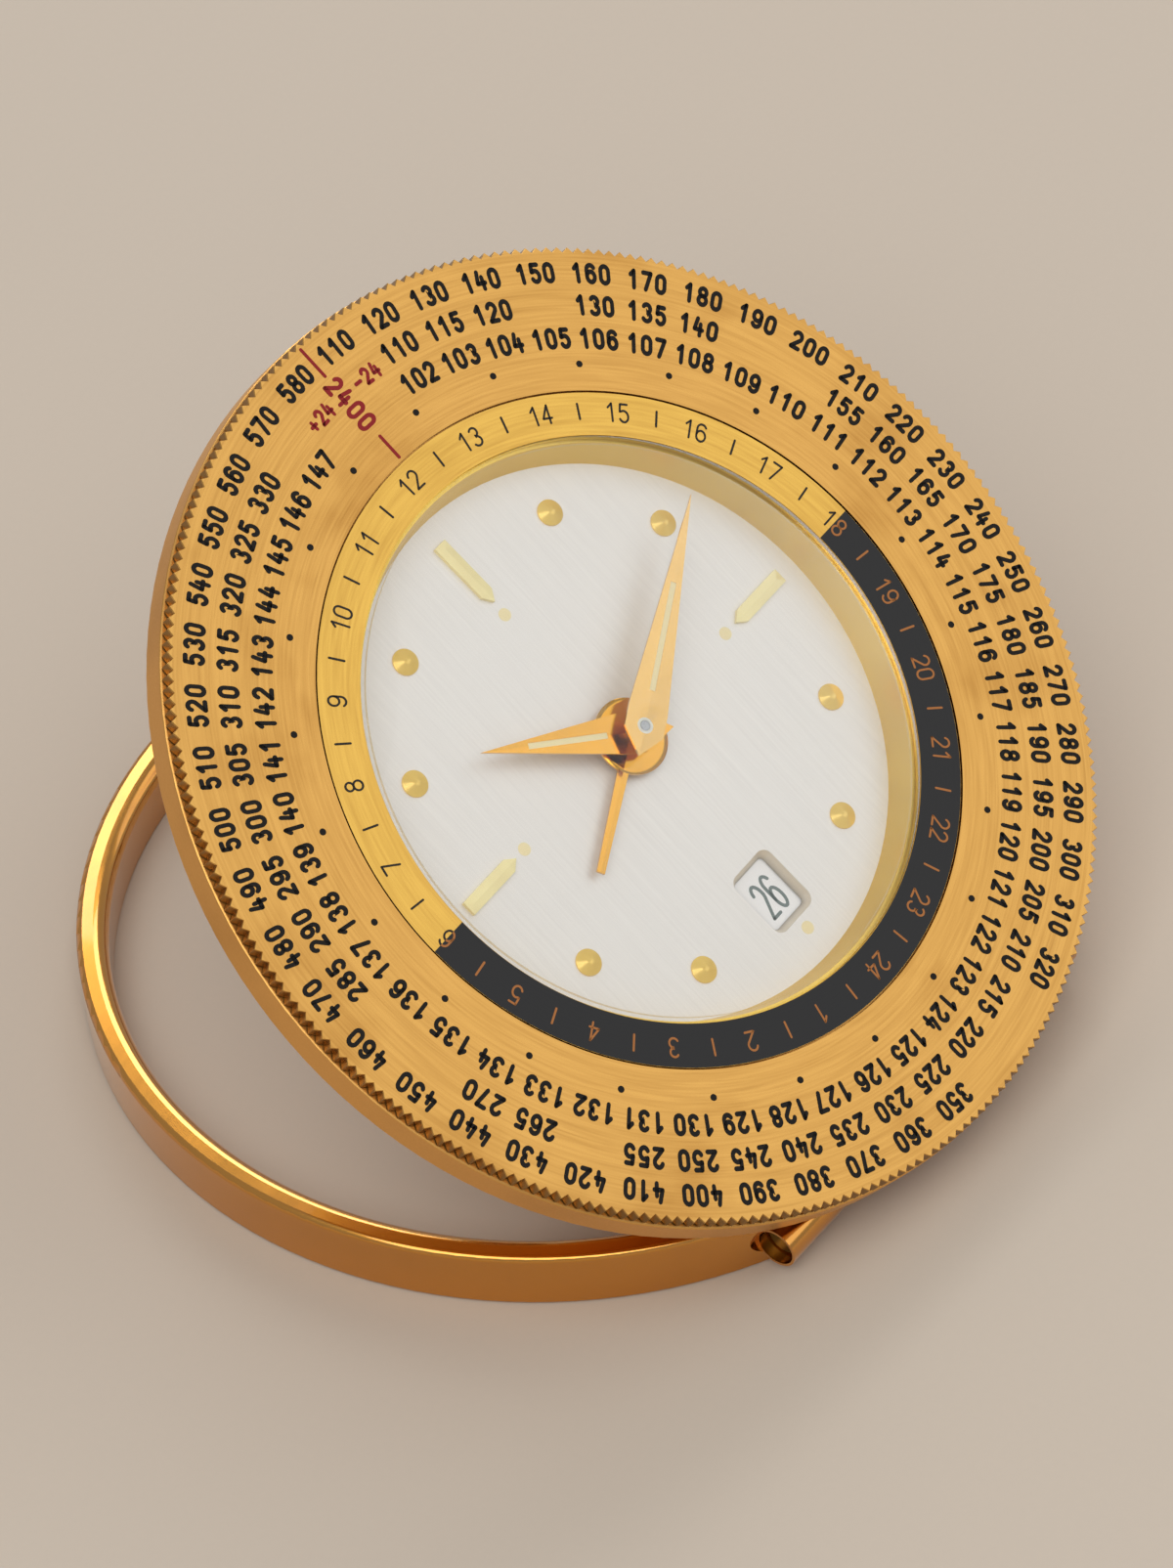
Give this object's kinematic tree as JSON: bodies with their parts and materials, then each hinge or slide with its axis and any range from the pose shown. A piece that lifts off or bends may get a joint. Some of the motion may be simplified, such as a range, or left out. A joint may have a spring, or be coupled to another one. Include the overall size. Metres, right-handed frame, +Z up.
{
  "type": "folding world time alarm clock",
  "caption": "Round gilt desk clock with a knurled turning bezel, a 24-hour ring, a silvered dial with three hands and a date window, hinged to a folding ring stand.",
  "frame": {"origin": "on the table, at the middle of the whole part's bounding box seen from above", "axes": "+X towards three o'clock, +Y away from the viewer along the table, +Z up; the hinge runs along X in front and the dial faces -Y and up"},
  "size_m": [0.0808, 0.0822, 0.0544],
  "materials": {
    "polished_brass": "polished gilt brass",
    "satin_brass": "satin gilt brass",
    "brushed_brass": "circularly brushed gilt brass",
    "ring_enamel": "gilt, lower half lacquered black",
    "gilt": "bright gilt",
    "train_brass": "machined brass",
    "dial_silver": "silvered, vertical grain",
    "date_enamel": "matt off-white",
    "lume": "cream luminous paint",
    "washer_plastic": "plain nylon",
    "steel": "turned steel",
    "spring_steel": "tempered steel",
    "crystal": "clear domed acrylic or glass"
  },
  "bodies": {
    "stand": {"stand_ring": "polished_brass", "stand_knuckles": "polished_brass", "hinge_pin": "steel"},
    "head": {"hinge_leaf": "polished_brass", "leaf_screws": "steel", "case_body": "satin_brass", "case_back": "satin_brass", "back_screws": "steel", "bezel_snap_ring": "spring_steel", "bezel_washer": "washer_plastic", "hour_ring": "ring_enamel", "rehaut": "polished_brass", "crystal": "crystal", "dial": "dial_silver", "baton_markers": "gilt", "cone_markers": "gilt", "calendar_plate": "train_brass", "date_jumper": "spring_steel", "main_plate": "train_brass", "back_plate": "train_brass", "pillars": "train_brass", "plate_screws": "steel", "balance_cock": "train_brass", "gong_wire": "spring_steel", "hairspring": "spring_steel", "clicks": "steel"},
    "bezel": {"bezel": "brushed_brass"},
    "minute_work": {"cannon_pinion": "steel", "minute_hand": "gilt", "minute_lume": "lume", "centre_wheel": "train_brass"},
    "hour_work": {"hour_wheel": "train_brass", "hour_hand": "gilt", "hour_lume": "lume"},
    "alarm_work": {"alarm_wheel": "train_brass", "alarm_hand": "gilt"},
    "minute_wheel": {"minute_wheel": "train_brass"},
    "hand_set_knob": {"hand_set_knob": "polished_brass"},
    "date_driver": {"date_driver": "train_brass"},
    "date_ring": {"date_ring": "date_enamel"},
    "alarm_set_knob": {"alarm_set_knob": "polished_brass"},
    "time_barrel": {"time_barrel": "train_brass", "time_mainspring": "spring_steel"},
    "intermediate_wheel": {"intermediate_wheel": "train_brass"},
    "third_wheel": {"third_wheel": "train_brass"},
    "fourth_wheel": {"fourth_wheel": "train_brass"},
    "escape_wheel": {"escape_wheel": "steel"},
    "pallet_lever": {"pallet_lever": "steel"},
    "balance_wheel": {"balance_wheel": "train_brass"},
    "regulator_lever": {"regulator_lever": "steel"},
    "time_winder": {"time_arbor": "steel", "time_key": "polished_brass"},
    "alarm_barrel": {"alarm_barrel": "train_brass", "alarm_mainspring": "spring_steel"},
    "alarm_winder": {"alarm_arbor": "steel", "alarm_key": "polished_brass"},
    "strike_wheel": {"strike_wheel": "steel"},
    "alarm_hammer": {"alarm_hammer": "steel"},
    "alarm_stop": {"alarm_stop": "polished_brass"}
  },
  "joints": [
    {"name": "stand_hinge", "type": "hinge", "parent": "stand", "child": "head", "pos_m": [0, -0.03393, 0.00263], "axis": [1, 0, 0], "range_deg": [-37, 6]},
    {"name": "bezel_turn", "type": "hinge", "parent": "head", "child": "bezel", "pos_m": [0, -0.00828, 0.02931], "axis": [0, -0.6018, 0.7986], "continuous": true},
    {"name": "minute_spin", "type": "hinge", "parent": "head", "child": "minute_work", "pos_m": [0, -0.00828, 0.02931], "axis": [0, -0.6018, 0.7986], "continuous": true},
    {"name": "hour_spin", "type": "hinge", "parent": "head", "child": "hour_work", "pos_m": [0, -0.00768, 0.02851], "axis": [0, -0.6018, 0.7986], "continuous": true},
    {"name": "alarm_spin", "type": "hinge", "parent": "head", "child": "alarm_work", "pos_m": [0, -0.00708, 0.02771], "axis": [0, -0.6018, 0.7986], "continuous": true},
    {"name": "minute_wheel_spin", "type": "hinge", "parent": "head", "child": "minute_wheel", "pos_m": [-0.003, -0.00112, 0.02844], "axis": [0, -0.6018, 0.7986], "continuous": true},
    {"name": "hand_set_spin", "type": "hinge", "parent": "head", "child": "hand_set_knob", "pos_m": [-0.00864, 0.00533, 0.02329], "axis": [0, -0.6018, 0.7986], "continuous": true},
    {"name": "date_driver_spin", "type": "hinge", "parent": "head", "child": "date_driver", "pos_m": [-0.00133, -0.01189, 0.02158], "axis": [0, -0.6018, 0.7986], "continuous": true},
    {"name": "date_ring_spin", "type": "hinge", "parent": "head", "child": "date_ring", "pos_m": [0, -0.00618, 0.02651], "axis": [0, -0.6018, 0.7986], "continuous": true},
    {"name": "alarm_set_spin", "type": "hinge", "parent": "head", "child": "alarm_set_knob", "pos_m": [0.00709, 0.00054, 0.01968], "axis": [0, -0.6018, 0.7986], "continuous": true},
    {"name": "time_barrel_spin", "type": "hinge", "parent": "head", "child": "time_barrel", "pos_m": [-0.01447, -0.00768, 0.01975], "axis": [0, -0.6018, 0.7986], "continuous": true},
    {"name": "intermediate_spin", "type": "hinge", "parent": "head", "child": "intermediate_wheel", "pos_m": [-0.0044, -0.00666, 0.01926], "axis": [0, -0.6018, 0.7986], "continuous": true},
    {"name": "third_spin", "type": "hinge", "parent": "head", "child": "third_wheel", "pos_m": [0.00315, 0.00089, 0.0262], "axis": [0, -0.6018, 0.7986], "continuous": true},
    {"name": "fourth_spin", "type": "hinge", "parent": "head", "child": "fourth_wheel", "pos_m": [0.00762, 0.00219, 0.02718], "axis": [0, -0.6018, 0.7986], "continuous": true},
    {"name": "escape_spin", "type": "hinge", "parent": "head", "child": "escape_wheel", "pos_m": [0.0117, 0.00219, 0.02718], "axis": [0, -0.6018, 0.7986], "continuous": true},
    {"name": "pallet_swing", "type": "hinge", "parent": "head", "child": "pallet_lever", "pos_m": [0.0135, -0.0003, 0.02531], "axis": [0, -0.6018, 0.7986], "range_deg": [-5, 5]},
    {"name": "balance_swing", "type": "hinge", "parent": "head", "child": "balance_wheel", "pos_m": [0.0155, -0.00247, 0.02242], "axis": [0, -0.6018, 0.7986], "range_deg": [-150, 150], "stiffness_Nm_per_rad": 0.0000015},
    {"name": "regulator_turn", "type": "hinge", "parent": "head", "child": "regulator_lever", "pos_m": [0.0155, -0.00132, 0.0209], "axis": [0, -0.6018, 0.7986], "range_deg": [-18, 18]},
    {"name": "time_wind", "type": "hinge", "parent": "head", "child": "time_winder", "pos_m": [-0.01447, -0.00467, 0.01576], "axis": [0, -0.6018, 0.7986], "continuous": true},
    {"name": "alarm_barrel_spin", "type": "hinge", "parent": "head", "child": "alarm_barrel", "pos_m": [0.00954, -0.01322, 0.01557], "axis": [0, -0.6018, 0.7986], "continuous": true},
    {"name": "alarm_wind", "type": "hinge", "parent": "head", "child": "alarm_winder", "pos_m": [0.00954, -0.01021, 0.01157], "axis": [0, -0.6018, 0.7986], "continuous": true},
    {"name": "strike_spin", "type": "hinge", "parent": "head", "child": "strike_wheel", "pos_m": [0.00117, -0.01264, 0.01601], "axis": [0, -0.6018, 0.7986], "continuous": true},
    {"name": "hammer_swing", "type": "hinge", "parent": "head", "child": "alarm_hammer", "pos_m": [0.0036, -0.01876, 0.00964], "axis": [0, -0.6018, 0.7986], "range_deg": [0, 7]},
    {"name": "stop_pull", "type": "slide", "parent": "head", "child": "alarm_stop", "axis": [0, 0.6018, -0.7986], "range_m": [0, 0.0015]}
  ],
  "couplings": [
    {"joint": "hour_spin", "follows": "minute_spin", "ratio": 0.083333},
    {"joint": "minute_wheel_spin", "follows": "minute_spin", "ratio": -0.33333},
    {"joint": "hand_set_spin", "follows": "minute_spin", "ratio": 1},
    {"joint": "date_driver_spin", "follows": "minute_spin", "ratio": -0.041667},
    {"joint": "intermediate_spin", "follows": "minute_spin", "ratio": -0.2},
    {"joint": "time_barrel_spin", "follows": "minute_spin", "ratio": 0.028571},
    {"joint": "third_spin", "follows": "minute_spin", "ratio": -8},
    {"joint": "fourth_spin", "follows": "minute_spin", "ratio": 60},
    {"joint": "escape_spin", "follows": "minute_spin", "ratio": -450},
    {"joint": "alarm_set_spin", "follows": "alarm_spin", "ratio": -5},
    {"joint": "strike_spin", "follows": "alarm_barrel_spin", "ratio": -7}
  ]
}
